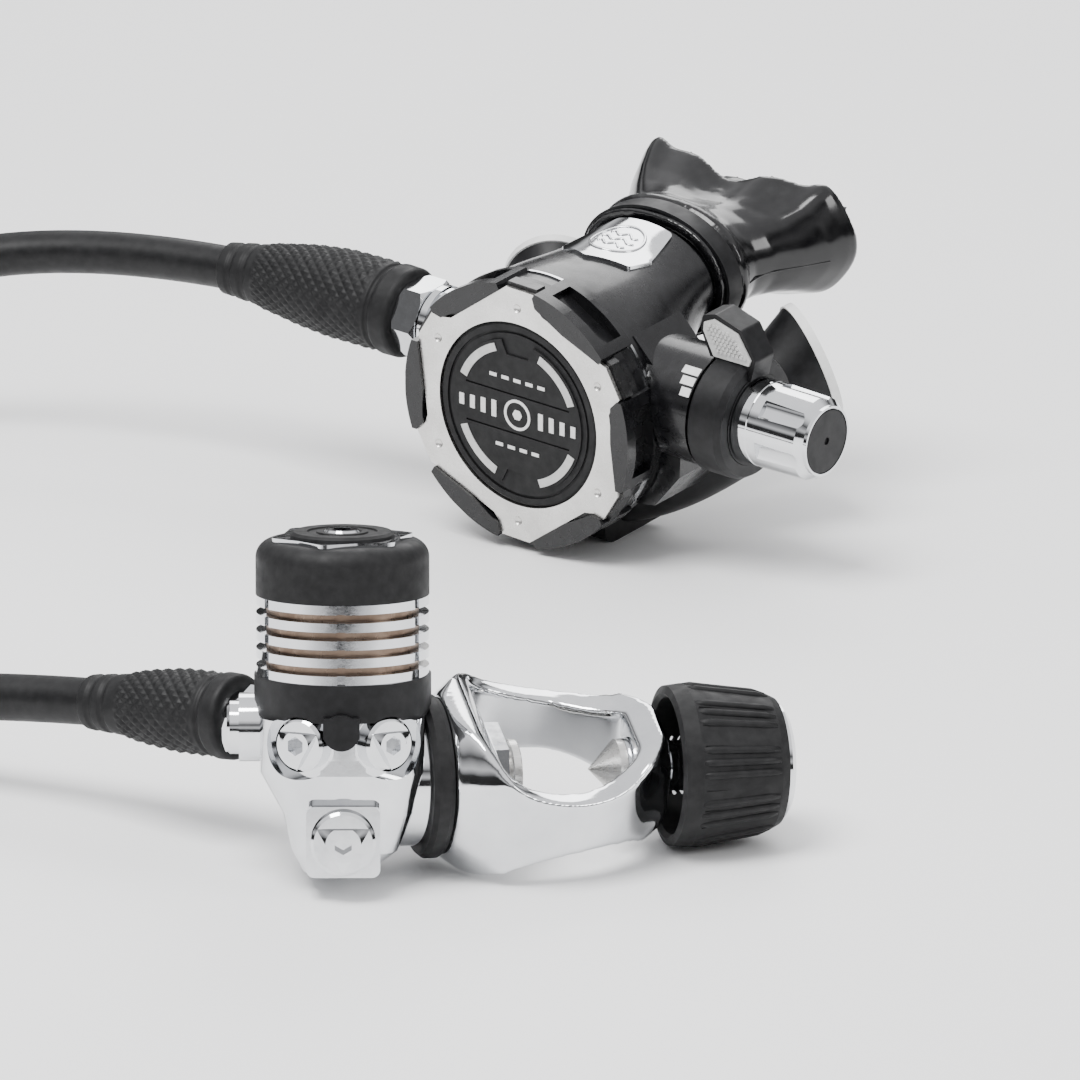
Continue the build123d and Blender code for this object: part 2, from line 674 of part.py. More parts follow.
# ---------------------------------------------------------------- first stage, yoke
def bumper():
    """Rubber disc between the block and the yoke."""
    disc = turned(yoke_frame(17.8), [(12.4, 0), (18.6, 0), (19.6, 1.2), (19.6, 3.9), (18.8, 5.1), (12.4,
                                                                                                   5.1)])
    return disc


def yoke():
    """Closed loop: round base, two arms round the window, and a threaded boss."""
    outer = [(YOKE_START, 18.0), (28.0, 21.5), (36.0, 25.6), (46.0, 26.6), (56.0, 25.0), (66.0, 20.0),
             (72.0, 15.2),
             (YOKE_END, 13.0)]
    inner = [(WINDOW_START, 18.5), (36.5, 20.6), (46.0, 21.2), (55.0, 19.2), (63.0, 14.2), (67.5, 10.5),
             (WINDOW_END, 7.5)]
    frame = yoke_frame(0)
    plan = Plane(origin=frame.origin, x_dir=frame.z_dir, z_dir=frame.y_dir)
    loop = outline_pair(outer)
    hole = outline_pair(inner)
    rounding = [(YOKE_START, 19.4), (27.5, 19.4), (34.0, 13.5), (46.0, 8.0), (58.0, 7.0), (68.0, 9.5),
                (73.0, 12.6),
                (YOKE_END, 12.8)]
    side_plan = Plane(origin=frame.origin, x_dir=frame.z_dir, z_dir=frame.x_dir)
    envelope = extrude(side_plan * outline_pair(rounding), 40, both=True)
    body = extrude(plan * loop, 19.4, both=True) & envelope
    body = body & turned(frame, [(0, YOKE_START), (19.2, YOKE_START), (22.5, 27.0), (29.0, 36.0), (29.0,
                                                                                                   62.0),
                                                                                                   (19.0,
                                                                                                    71.0),
                                 (14.0, YOKE_END), (0, YOKE_END)])
    body -= extrude(plan * hole, 40, both=True)
    body -= rod(yoke_frame(YOKE_START - 5), 9.05, 20)
    body -= rod(yoke_frame(YOKE_START - 5), 12.9, 5 + 6.0)
    body -= rod(yoke_frame(60), SCREW_R + END_FIT, 30)
    return body


def outline_pair(half):
    """Closed face from one edge's points, mirrored about the axis."""
    upper = [(d, s) for d, s in half]
    lower = [(d, -s) for d, s in reversed(half)]
    edge = Spline(*upper) if len(upper) > 2 else Line(*upper)
    other = Spline(*lower)
    end = Line(upper[-1], lower[0])
    start = Line(lower[-1], upper[0])
    return make_face([edge, end, other, start])


def inlet_retainer():
    """Hexagon that clamps the yoke to the block; its shank screws into the inlet."""
    body = hex_bar(yoke_frame(34.6), 21.0, 3.6) + rod(yoke_frame(12.4), 8.95,
                                                      16.7) + rod(yoke_frame(29.0), 9.0, 5.7)
    body += rod(yoke_frame(23.1), 12.8, 5.8)
    body -= rod(yoke_frame(9.0), 5.3, 40)
    return body


def inlet_nozzle():
    """Spring-loaded sealing disc; a seated valve pushes it in and opens the inlet."""
    body = turned(yoke_frame(0), [(0, 24.0), (5.2, 24.0), (5.2, 39.9), (7.6, 39.9), (7.9, 40.2), (7.9,
                                                                                                  SEAL_FACE - 0.3),
                                  (7.6, SEAL_FACE), (0, SEAL_FACE)])
    body -= rod(yoke_frame(20), 2.2, 40)
    body -= pipe(yoke_frame(SEAL_FACE - 1.3), 6.1, 3.5, 3)
    return body


def inlet_seal():
    return pipe(yoke_frame(SEAL_FACE - 1.3), 6.05, 3.55, 1.1)


def nozzle_spring():
    return coil_spring(yoke_frame(16.6), 4.4, 0.45, 1.7, 5.0)


def inlet_filter():
    return rod(yoke_frame(12.8), 5.25, 2.6)


def screw_point():
    """Hard cone that centres in the cylinder valve's dimple; the screw turns behind it."""
    return turned(yoke_frame(0), [(0, SCREW_TIP), (6.95, SCREW_TIP + 6.6), (6.95, SCREW_TIP + 8.4), (3.0,
                                                                                                     SCREW_TIP + 8.4),
                                  (3.0, SCREW_TIP + 13.0), (0, SCREW_TIP + 13.0)])


def yoke_screw():
    """Screw with a coarse thread of plain rings, turned by the knob."""
    start = SCREW_TIP + 8.5
    profile = [(3.05, start), (SCREW_R, start), (SCREW_R, YOKE_END + 1.0)]
    turn_count = 6
    for index in range(turn_count):
        d = YOKE_END + 1.0 + index * SCREW_PITCH
        profile += [(6.1, d + 0.45), (6.1, d + 0.85), (SCREW_R, d + 1.3), (SCREW_R, d + SCREW_PITCH)]
    profile += [(SCREW_R, 104.5), (0, 104.5), (0, start + 4.8), (3.05, start + 4.8)]
    return turned(yoke_frame(0), profile)


def knob_rubber():
    """Tapered grip with a hollow, flared mouth and ribbed flats."""
    taper = turned(yoke_frame(0), [(SCREW_R, KNOB_START + 10.0), (16.0, KNOB_START + 10.0), (16.4,
                                                                                             KNOB_START + 1.0),
                                   (17.4, KNOB_START), (19.2, KNOB_START + 0.6), (19.6, KNOB_START + 4.5),
                                   (16.4, KNOB_END - 2.0), (15.4, KNOB_END), (SCREW_R, KNOB_END)])
    for turn in range(0, 360, 60):
        for shift in (-16.0, 0.0, 16.0):
            groove = yoke_frame(KNOB_START + 6.5).location * Rot(0, 0, turn + shift) * Pos(20.2, 0, 12)
            taper -= groove * Rot(0, -6.5, 0) * Box(5.0, 1.7, 26.0)
    return taper


def knob_cap():
    return turned(yoke_frame(0), [(0, KNOB_END + 0.05), (14.2, KNOB_END + 0.05), (14.2, KNOB_END + 1.0),
                                  (12.6, KNOB_END + 2.2), (8.0, KNOB_END + 3.1), (0, KNOB_END + 3.3)])


# ---------------------------------------------------------------- hose
def hose_fitting():
    """Hexagon and seat ring that screw into the first stage's hose port."""
    angle, z = HOSE_PORT
    body = hex_bar(port_frame(angle, 23.2, z), 14.3, 5.6) + rod(port_frame(angle, 21.1, z), 7.6, 2.2)
    body += rod(port_frame(angle, 15.0, z), 4.75, 6.2) + rod(port_frame(angle, 28.7, z), 6.6, 3.2)
    return body - rod(port_frame(angle, 12.0, z), 2.6, 30)


def second_hose_end():
    """Hose axis at the swivel nut, pointing away from the second stage."""
    return Plane(origin=(HOSE_START_X, BARREL_Y, BARREL_Z), x_dir=(0, 1, 0), z_dir=(-1, 0, 0))


def hose_route():
    """Corner points: straight out of the nut, down to the floor, round, and up to the port."""
    start = second * second_hose_end().location
    end = first * port_frame(HOSE_PORT[0], HOSE_END, HOSE_PORT[1]).location
    leave = start * Pos(0, 0, FIRST_RUN)
    arrive = end * Pos(0, 0, LAST_RUN)
    on_floor = [Vector(x, y, HOSE_R) for x, y in HOSE_FLOOR_POINTS]
    drop = Vector(*HOSE_DROP_POINT)
    return [start.position, leave.position, drop, *on_floor, arrive.position, end.position]


def corner_radii(points):
    """Each arc as large as its two runs allow."""
    radii = []
    for before, corner, after in zip(points, points[1:], points[2:]):
        turn = (corner - before).get_angle(after - corner)
        shorter = min((corner - before).length, (after - corner).length)
        radii.append(0.45 * shorter / tan(radians(turn) / 2))
    return radii


def hose():
    points = hose_route()
    path = FilletPolyline(*points, radius=corner_radii(points))
    section = Plane(origin=path @ 0, z_dir=path % 0) * Circle(HOSE_R)
    tube = sweep(section, path=path)
    print("hose length", round(path.length, 1), "radii", [round(r, 1) for r in corner_radii(points)])
    print("volume / (section x length)", round(tube.volume / (pi * HOSE_R ** 2 * path.length), 4))
    print("points", [tuple(round(v, 2) for v in point) for point in points])
    return tube


first = Pos(*FIRST_AT) * Rot(FIRST_LEAN, 0, 0)
second = Pos(*SECOND_AT) * Rot(0, 0, SECOND_TURN[2]) * Rot(0, SECOND_TURN[1], 0) * Rot(SECOND_TURN[0], 0, 0)

SECOND_STAGE = {
    "cover_plate": cover_plate,
    "cover_ring": cover_ring,
    "purge_button": purge_button,
    "purge_inlays": purge_inlays,
    "purge_spring": purge_spring,
    "diaphragm": diaphragm,
    "diaphragm_disc": diaphragm_disc,
    "case_ring": case_ring,
    "case": case,
    "case_badge": case_badge,
    "lever_bearing": lever_bearing,
    "valve_tube": valve_tube,
    "valve_orifice": valve_orifice,
    "poppet": poppet,
    "poppet_seat": poppet_seat,
    "poppet_spring": poppet_spring,
    "adjusting_piston": adjusting_piston,
    "demand_lever": demand_lever,
    "adjusting_knob": adjusting_knob,
    "knob_disc": knob_disc,
    "venturi_lever": venturi_lever,
    "lever_pad": lever_pad,
    "mouthpiece": mouthpiece,
    "clamp_band": clamp_band,
    "exhaust_tee": exhaust_tee,
    "exhaust_valve": exhaust_valve,
    "inlet_fitting": inlet_fitting,
    "swivel_nut": swivel_nut,
}

FIRST_STAGE = {
    "port_block": port_block,
    "port_plugs": port_plugs,
    "collar": collar,
    "rib_barrel": rib_barrel,
    "groove_bands": groove_bands,
    "cap": cap,
    "cap_badge": cap_badge,
    "top_disc": top_disc,
    "top_screw": top_screw,
    "main_spring": main_spring,
    "spring_button": spring_button,
    "spring_adjuster": spring_adjuster,
    "main_diaphragm": main_diaphragm,
    "lifter": lifter,
    "valve_crown": valve_crown,
    "inlet_poppet": inlet_poppet,
    "poppet_return_spring": poppet_return_spring,
    "bumper": bumper,
    "yoke": yoke,
    "inlet_retainer": inlet_retainer,
    "inlet_nozzle": inlet_nozzle,
    "inlet_seal": inlet_seal,
    "nozzle_spring": nozzle_spring,
    "inlet_filter": inlet_filter,
    "screw_point": screw_point,
    "yoke_screw": yoke_screw,
    "knob_rubber": knob_rubber,
    "knob_cap": knob_cap,
    "hose_fitting": hose_fitting,
}

pieces = {}
for table, frame in ((SECOND_STAGE, second), (FIRST_STAGE, first)):
    for name, make in table.items():
        pieces[name] = frame * make()
pieces["tee_rims"] = second * (tee_rim(-1) + tee_rim(1))
far_sleeve = second * hose_sleeve(second_hose_end(), SECOND_SLEEVE, 12.4)
near_sleeve = first * hose_sleeve(port_frame(HOSE_PORT[0], HOSE_END, HOSE_PORT[1]), FIRST_SLEEVE, 10.6)
pieces["hose_sleeves"] = far_sleeve + near_sleeve
pieces["hose"] = hose()

for name, piece in pieces.items():
    export_step(piece, f"parts/{name}.step")
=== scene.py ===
import json
from math import cos, exp, hypot, pi, radians, sin

import bmesh
import bpy
from mathutils import Matrix, Vector
from mathutils.bvhtree import BVHTree


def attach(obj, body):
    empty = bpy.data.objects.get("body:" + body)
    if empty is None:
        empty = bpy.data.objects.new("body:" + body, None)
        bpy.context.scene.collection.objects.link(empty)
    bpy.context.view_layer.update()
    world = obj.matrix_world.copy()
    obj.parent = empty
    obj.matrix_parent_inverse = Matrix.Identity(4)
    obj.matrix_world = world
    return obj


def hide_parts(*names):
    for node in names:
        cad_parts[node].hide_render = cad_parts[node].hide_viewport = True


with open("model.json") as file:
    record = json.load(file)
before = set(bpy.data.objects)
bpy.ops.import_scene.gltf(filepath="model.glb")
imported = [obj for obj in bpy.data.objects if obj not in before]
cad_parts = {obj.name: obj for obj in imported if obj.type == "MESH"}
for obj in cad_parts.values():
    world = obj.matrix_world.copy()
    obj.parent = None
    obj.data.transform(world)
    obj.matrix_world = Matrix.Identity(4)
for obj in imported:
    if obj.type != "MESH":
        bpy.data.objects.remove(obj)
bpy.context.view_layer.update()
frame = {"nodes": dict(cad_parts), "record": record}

MM = 0.001
NODES = frame["nodes"]

# ------------------------------------------------------------------ frames of the two stages
# Local axes, in millimetres. Second stage: X along the valve barrel, Y from cover to mouthpiece,
# Z up, origin at the cover plate. First stage: Z along the body, Y to the back, origin at the chin.
SECOND_TILT = (radians(6.5), radians(4.7), radians(-37.4))
SECOND = (Matrix.Translation((-0.0075, 0.0972, 0.03795)) @ Matrix.Rotation(SECOND_TILT[2], 4, "Z")
          @ Matrix.Rotation(SECOND_TILT[1], 4, "Y") @ Matrix.Rotation(SECOND_TILT[0], 4, "X"))
FIRST = Matrix.Translation((-0.0485, -0.1658, 0.0029)) @ Matrix.Rotation(radians(-8.4), 4, "X")
# The valve barrel's axis, in the second stage's axes.
BARREL_Y = 25.0
BARREL_Z = 5.5


def at(stage, x, y, z):
    """Point in the row frame, in metres, from a stage's own millimetres."""
    return stage @ Vector((x * MM, y * MM, z * MM))


# ------------------------------------------------------------------ camera
CAMERA_ELEVATION = radians(16.7)
CAMERA_TARGET = Vector((-0.00175, 0.0, 0.0335))
CAMERA_DISTANCE = 3.0
CAMERA_LENS = 400.0
CAMERA_SENSOR = 36.0
CAMERA_REACH = 50.0


def make_camera():
    data = bpy.data.cameras.new("camera")
    data.lens = CAMERA_LENS
    data.sensor_width = CAMERA_SENSOR
    data.clip_end = CAMERA_REACH
    camera = bpy.data.objects.new("camera", data)
    bpy.context.scene.collection.objects.link(camera)
    back = Vector((0.0, -cos(CAMERA_ELEVATION), sin(CAMERA_ELEVATION)))
    camera.location = CAMERA_TARGET + back * CAMERA_DISTANCE
    camera.rotation_euler = (-back).to_track_quat("-Z", "Y").to_euler()
    bpy.context.scene.camera = camera


# ------------------------------------------------------------------ material kit
# Most values of a noise node lie between these two.
NOISE_LOW = 0.3
NOISE_HIGH = 0.7
# Noise scales are in cells a metre: clouds of colour and of gloss on plastic, stains on metal.
CLOUD_SCALE = 420.0
GLOSS_SCALE = 260.0
STAIN_SCALE = 70.0
# Noise values at which a plastic is fully dark and fully light.
CLOUD_STOPS = (0.35, 0.68)
PLASTIC_BUMP = 0.35
METAL_BUMP = 0.25
COAT_ROUGHNESS = 0.12
PLASTIC_SPECULAR = 0.28


class Shader:
    """A Principled material with short names for the nodes that every finish uses."""

    def __init__(self, name):
        self.material = bpy.data.materials.new(name)
        self.material.use_nodes = True
        self.nodes = self.material.node_tree.nodes
        self.links = self.material.node_tree.links
        self.bsdf = self.nodes["Principled BSDF"]
        self.coords = self.nodes.new("ShaderNodeTexCoord")

    def set(self, **values):
        for name, value in values.items():
            self.bsdf.inputs[name.replace("_", " ")].default_value = value

    def join(self, value, socket):
        self.links.new(value, self.bsdf.inputs[socket])

    def mapping(self, scale, rotation):
        node = self.nodes.new("ShaderNodeMapping")
        node.inputs["Scale"].default_value = scale
        node.inputs["Rotation"].default_value = rotation
        self.links.new(self.coords.outputs["Object"], node.inputs["Vector"])
        return node.outputs["Vector"]

    def noise(self, scale, detail, roughness=0.5, vector=None):
        node = self.nodes.new("ShaderNodeTexNoise")
        node.inputs["Scale"].default_value = scale
        node.inputs["Detail"].default_value = detail
        node.inputs["Roughness"].default_value = roughness
        self.links.new(vector or self.coords.outputs["Object"], node.inputs["Vector"])
        return node.outputs["Fac"]

    def ramp(self, value, dark, light, start=NOISE_LOW, stop=NOISE_HIGH):
        """Colour that goes from dark to light as the value rises."""
        node = self.nodes.new("ShaderNodeValToRGB")
        for element, position, colour in zip(node.color_ramp.elements, (start, stop), (dark, light)):
            element.position = position
            element.color = (*colour, 1.0)
        self.links.new(value, node.inputs["Fac"])
        return node.outputs["Color"]

    def spread(self, value, low, high):
        """Number that goes from low to high as the value rises."""
        node = self.nodes.new("ShaderNodeMapRange")
        node.inputs["From Min"].default_value = NOISE_LOW
        node.inputs["From Max"].default_value = NOISE_HIGH
        node.inputs["To Min"].default_value = low
        node.inputs["To Max"].default_value = high
        self.links.new(value, node.inputs["Value"])
        return node.outputs["Result"]

    def bump(self, value, strength, distance):
        node = self.nodes.new("ShaderNodeBump")
        node.inputs["Strength"].default_value = strength
        node.inputs["Distance"].default_value = distance
        self.links.new(value, node.inputs["Height"])
        self.join(node.outputs["Normal"], "Normal")


MATERIALS = {}


def plastic(name, dark, light, rough, grain, depth, coat=0.0):
    """Moulded plastic or rubber: cloudy colour and gloss, and a fine grain."""
    shader = Shader(name)
    shader.join(shader.ramp(shader.noise(CLOUD_SCALE, 4.0), dark, light, *CLOUD_STOPS), "Base Color")
    shader.join(shader.spread(shader.noise(GLOSS_SCALE, 5.0), *rough), "Roughness")
    shader.bump(shader.noise(grain, 2.0, 0.6), PLASTIC_BUMP, depth)
    shader.set(Coat_Weight=coat, Coat_Roughness=COAT_ROUGHNESS, Specular_IOR_Level=PLASTIC_SPECULAR)
    MATERIALS[name] = shader.material


def metal(name, dark, light, rough, stretch=(1, 1, 1), rotation=(0, 0, 0), grain=900.0, depth=0.00002):
    """Polished or brushed metal: faint staining, and scratches along one direction."""
    shader = Shader(name)
    shader.join(shader.ramp(shader.noise(STAIN_SCALE, 5.0, 0.6), dark, light), "Base Color")
    lines = shader.noise(grain, 4.0, 0.65, shader.mapping(stretch, rotation))
    shader.join(shader.spread(lines, *rough), "Roughness")
    shader.bump(lines, METAL_BUMP, depth)
    shader.set(Metallic=1.0)
    MATERIALS[name] = shader.material


def make_materials():
    """One finish for each material slot: dark and light colour, roughness from and to, then the grain."""
    metal("cover_steel", (0.60, 0.59, 0.57), (0.80, 0.79, 0.77), (0.22, 0.42),
          stretch=(0.06, 1, 1), rotation=SECOND_TILT, grain=2600.0, depth=0.00004)
    metal("chrome", (0.66, 0.67, 0.69), (0.78, 0.79, 0.80), (0.03, 0.10), grain=260.0)
    plastic("gloss_black", (0.003, 0.003, 0.0035), (0.007, 0.007, 0.008), (0.20, 0.34),
            2400.0, 0.00003, coat=0.35)
    plastic("satin_black", (0.004, 0.004, 0.0045), (0.009, 0.009, 0.010), (0.38, 0.52), 3200.0, 0.00004)
    plastic("soft_black", (0.005, 0.005, 0.0055), (0.011, 0.011, 0.0115), (0.50, 0.68), 2800.0, 0.00005)
    plastic("silicone_black", (0.002, 0.002, 0.0025), (0.006, 0.006, 0.0065), (0.12, 0.26),
            700.0, 0.00002, coat=0.5)
    plastic("hose_black", (0.004, 0.004, 0.0045), (0.010, 0.010, 0.0105), (0.36, 0.50), 1800.0, 0.00004)
    plastic("inlay_grey", (0.50, 0.50, 0.49), (0.60, 0.60, 0.59), (0.34, 0.48), 2600.0, 0.00003)
    plastic("rim_white", (0.74, 0.74, 0.73), (0.82, 0.82, 0.81), (0.30, 0.44), 1500.0, 0.00003)
    plastic("seat_white", (0.72, 0.71, 0.67), (0.82, 0.80, 0.76), (0.36, 0.5), 1500.0, 0.00003)
    metal("valve_brass", (0.52, 0.40, 0.20), (0.72, 0.58, 0.33), (0.20, 0.36), stretch=(1, 1, 0.2))
    metal("spring_steel", (0.42, 0.42, 0.43), (0.62, 0.62, 0.62), (0.24, 0.38))
    metal("bronze", (0.16, 0.11, 0.08), (0.34, 0.25, 0.19), (0.24, 0.40), stretch=(1, 1, 0.1))


def dress_cad_nodes():
    """Every carried CAD node takes the finish of its own material slot."""
    for part in frame["record"]["subparts"]:
        node = NODES[part["node"]]
        node.data.materials.clear()
        node.data.materials.append(MATERIALS[part["material_slot"]])


# ------------------------------------------------------------------ mesh kit
def make_piece(name, shape, material, body, smooth=True):
    """Object from a bmesh whose points are already in the row frame, riding on a body."""
    mesh = bpy.data.meshes.new(name)
    bmesh.ops.recalc_face_normals(shape, faces=shape.faces)
    shape.to_mesh(mesh)
    shape.free()
    mesh.polygons.foreach_set("use_smooth", [smooth] * len(mesh.polygons))
    mesh.materials.append(MATERIALS[material])
    piece = bpy.data.objects.new(name, mesh)
    bpy.context.scene.collection.objects.link(piece)
    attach(piece, body)
    return piece


def skin(shape, rings, closed=False):
    """Quads between rings of points; closed joins the last ring to the first."""
    rows = [[shape.verts.new(point) for point in ring] for ring in rings]
    pairs = list(zip(rows, rows[1:]))
    if closed:
        pairs.append((rows[-1], rows[0]))
    for low, high in pairs:
        for i in range(len(low)):
            j = (i + 1) % len(low)
            shape.faces.new((low[i], low[j], high[j], high[i]))
    if not closed:
        shape.faces.new(rows[0])
        shape.faces.new(rows[-1])


def raised_bar(shape, outline, front, depth, place):
    """Prism from a closed outline; place turns its three local numbers into a point."""
    near = [shape.verts.new(place(x, front, z)) for x, z in outline]
    far = [shape.verts.new(place(x, front + depth, z)) for x, z in outline]
    shape.faces.new(near)
    shape.faces.new(far)
    for i in range(len(outline)):
        j = (i + 1) % len(outline)
        shape.faces.new((near[i], near[j], far[j], far[i]))


def rectangle(x, z, wide, high):
    return [(x - wide / 2, z - high / 2), (x + wide / 2, z - high / 2),
            (x + wide / 2, z + high / 2), (x - wide / 2, z + high / 2)]


def polygon(radius, count, x=0.0, z=0.0, start=0.0):
    turns = [start + 2 * pi * i / count for i in range(count)]
    return [(x + radius * cos(turn), z + radius * sin(turn)) for turn in turns]


def on_second(x, y, z):
    return at(SECOND, x, y, z)


def fuse(piece, voxel, smoothing):
    """Melts the overlapping parts of a mesh into one soft body."""
    remesh = piece.modifiers.new("melt", "REMESH")
    remesh.mode = "VOXEL"
    remesh.voxel_size = voxel
    smooth = piece.modifiers.new("soften", "SMOOTH")
    smooth.factor = 0.5
    smooth.iterations = smoothing
    bpy.context.view_layer.update()
    depsgraph = bpy.context.evaluated_depsgraph_get()
    made = bpy.data.meshes.new_from_object(piece.evaluated_get(depsgraph))
    piece.modifiers.clear()
    piece.data = made
    made.polygons.foreach_set("use_smooth", [True] * len(made.polygons))


def spline_curve(name, points, radius, segments=8):
    """Curve object of one smooth NURBS spline through a route's control points."""
    data = bpy.data.curves.new(name, "CURVE")
    data.dimensions = "3D"
    data.resolution_u = 24
    data.bevel_depth = radius
    data.bevel_resolution = segments
    spline = data.splines.new("NURBS")
    spline.points.add(len(points) - 1)
    for point, place in zip(spline.points, points):
        point.co = (*place, 1.0)
    spline.order_u = 3
    spline.use_endpoint_u = True
    curve = bpy.data.objects.new(name, data)
    bpy.context.scene.collection.objects.link(curve)
    return curve


# ------------------------------------------------------------------ the hose
# Control points in the row frame, in metres. The first two lie on the axis of the second stage's
# inlet and the last two on the axis of the first stage's port; the others take it down to the floor
# and round in a loop.
HOSE_ROUTE = [
    (-0.03477, 0.14853, 0.05062),
    (-0.12582, 0.21815, 0.06004),
    (-0.22200, 0.20000, 0.02600),
    (-0.29300, 0.12500, 0.00575),
    (-0.31200, 0.01000, 0.00575),
    (-0.26200, -0.09000, 0.00575),
    (-0.15028, -0.07813, 0.02230),
    (-0.07311, -0.14105, 0.03159),
]
HOSE_DIAMETER = 0.0115


def make_hose():
    hose = spline_curve("hose_line", HOSE_ROUTE, HOSE_DIAMETER / 2, 12)
    hose.data.use_fill_caps = True
    hose.data.materials.append(MATERIALS["hose_black"])
    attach(hose, "regulator")
    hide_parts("hose")
    return hose


# ------------------------------------------------------------------ mouthpiece
# Stations from the neck to the lip shield and back along the airway:
# Y, centre Z, half width, half height, and how much of the jaw's curve the ring takes.
MOUTH_OUTSIDE = [
    (57.3, 20.0, 22.9, 16.9, 0.0), (64.5, 20.0, 22.9, 16.9, 0.0), (65.2, 20.0, 24.2, 18.2, 0.0),
    (67.4, 20.2, 24.3, 18.0, 0.0), (68.6, 20.4, 22.9, 15.9, 0.0), (72.0, 20.8, 22.4, 14.4, 0.1),
    (76.5, 21.1, 24.6, 13.4, 0.25), (81.0, 21.5, 29.2, 13.3, 0.5), (85.0, 21.8, 33.0, 14.4, 0.8),
    (88.5, 22.0, 35.0, 16.2, 1.0), (91.2, 22.1, 35.6, 17.6, 1.0), (92.8, 22.2, 35.0, 17.9, 1.0),
]
MOUTH_INSIDE = [
    (92.9, 22.2, 33.6, 16.9, 1.0), (91.2, 22.2, 32.4, 15.0, 1.0), (87.0, 22.0, 29.6, 11.6, 0.8),
    (82.0, 21.6, 25.0, 9.8, 0.5), (76.0, 21.1, 20.8, 9.8, 0.2), (70.0, 20.6, 19.0, 11.0, 0.0),
    (65.8, 20.2, 19.9, 13.9, 0.0), (57.3, 20.0, 19.9, 13.9, 0.0),
]
MOUTH_SEGMENTS = 120
MOUTH_VOXEL = 0.00055
MOUTH_SMOOTHING = 7
OVAL_POWER = 0.86
# The shield curves back round the jaw by this much at its half width.
JAW_CURVE = 7.5
JAW_HALF_WIDTH = 34.0
# Ears and notch of the shield: heights as shares of the ring's, widths and place as shares across.
EAR_AT = 0.80
EAR_HEIGHT = 0.42
EAR_WIDTH = 0.17
LOWER_EAR_SHARE = 0.35
NOTCH_DEPTH = 0.26
NOTCH_WIDTH = 0.20
LIP_DENT = 1.5
LIP_DENT_WIDTH = 0.25
# Low and high corners of the blocks on one side: bite tab, lug behind the teeth, and their root.
BITE_Z = 22.0
BITE_BLOCKS = [
    ((14.5, 86.0, BITE_Z - 1.7), (29.5, 99.0, BITE_Z + 1.7)),
    ((15.5, 97.2, BITE_Z - 6.5), (28.0, 100.0, BITE_Z + 8.0)),
    ((13.0, 84.0, BITE_Z - 6.0), (15.8, 99.6, BITE_Z + 6.5)),
]
PALATE_BRIDGE = ((-15.0, 88.0, BITE_Z + 2.2), (15.0, 98.5, BITE_Z + 4.0))
PALATE_HALF_WIDTH = 17.0
PALATE_RISE = 8.0
PALATE_DENT = 2.0
SEAM_RADIUS = 0.00022


def mouth_point(y, z, half_wide, half_high, flange, angle):
    """Point of one ring: an oval that grows ears and a lip notch as it becomes the shield."""
    across = cos(angle)
    up = sin(angle)
    share = abs(across) ** OVAL_POWER * (1 if across >= 0 else -1)
    ear = EAR_HEIGHT * exp(-(((abs(across) - EAR_AT) / EAR_WIDTH) ** 2))
    if up <= 0:
        ear *= LOWER_EAR_SHARE
    notch = NOTCH_DEPTH * exp(-((across / NOTCH_WIDTH) ** 2))
    dent = LIP_DENT * exp(-((across / LIP_DENT_WIDTH) ** 2))
    height = half_high * up * (1 + flange * (ear - notch))
    back = y + flange * (JAW_CURVE * across * across - dent)
    return at(SECOND, half_wide * share, back, z + height)


def bent_block(shape, low, high, curve, cuts=7):
    """Closed block, finely cut and then bent, for the bite tabs and the palate bridge."""
    block = bmesh.new()
    bmesh.ops.create_cube(block, size=1.0)
    bmesh.ops.subdivide_edges(block, edges=block.edges[:], cuts=cuts, use_grid_fill=True)
    for vert in block.verts:
        place = [low[axis] + (vert.co[axis] + 0.5) * (high[axis] - low[axis]) for axis in range(3)]
        vert.co = at(SECOND, *curve(*place))
    mesh = bpy.data.meshes.new("block")
    block.to_mesh(mesh)
    block.free()
    shape.from_mesh(mesh)
    bpy.data.meshes.remove(mesh)


def along_jaw(x, y, z):
    return x, y + JAW_CURVE * (x / JAW_HALF_WIDTH) ** 2, z


def along_palate(x, y, z):
    lift = cos(x / PALATE_HALF_WIDTH * pi / 2)
    return x, y + JAW_CURVE * (x / JAW_HALF_WIDTH) ** 2 - PALATE_DENT * lift, z + PALATE_RISE * max(lift, 0.0)


def make_mouthpiece():
    """Hollow silicone body with its lip shield, bite tabs and palate bridge, melted into one."""
    shape = bmesh.new()
    angles = [2 * pi * i / MOUTH_SEGMENTS for i in range(MOUTH_SEGMENTS)]
    stations = MOUTH_OUTSIDE + MOUTH_INSIDE
    skin(shape, [[mouth_point(*station, angle) for angle in angles] for station in stations], closed=True)
    for low, high in BITE_BLOCKS:
        bent_block(shape, low, high, along_jaw)
        bent_block(shape, (-high[0], low[1], low[2]), (-low[0], high[1], high[2]), along_jaw)
    bent_block(shape, *PALATE_BRIDGE, along_palate, cuts=15)
    piece = make_piece("mouthpiece_silicone", shape, "silicone_black", "regulator")
    fuse(piece, MOUTH_VOXEL, MOUTH_SMOOTHING)
    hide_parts("mouthpiece")


def make_mouthpiece_seam():
    """Moulding line along each side of the mouthpiece, just below its widest part."""
    for name, angle in (("right", -0.10), ("left", pi + 0.10)):
        points = [mouth_point(*station, angle) for station in MOUTH_OUTSIDE[4:-3]]
        seam = spline_curve("mouthpiece_seam_" + name, points, SEAM_RADIUS, 3)
        seam.data.materials.append(MATERIALS["silicone_black"])
        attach(seam, "regulator")


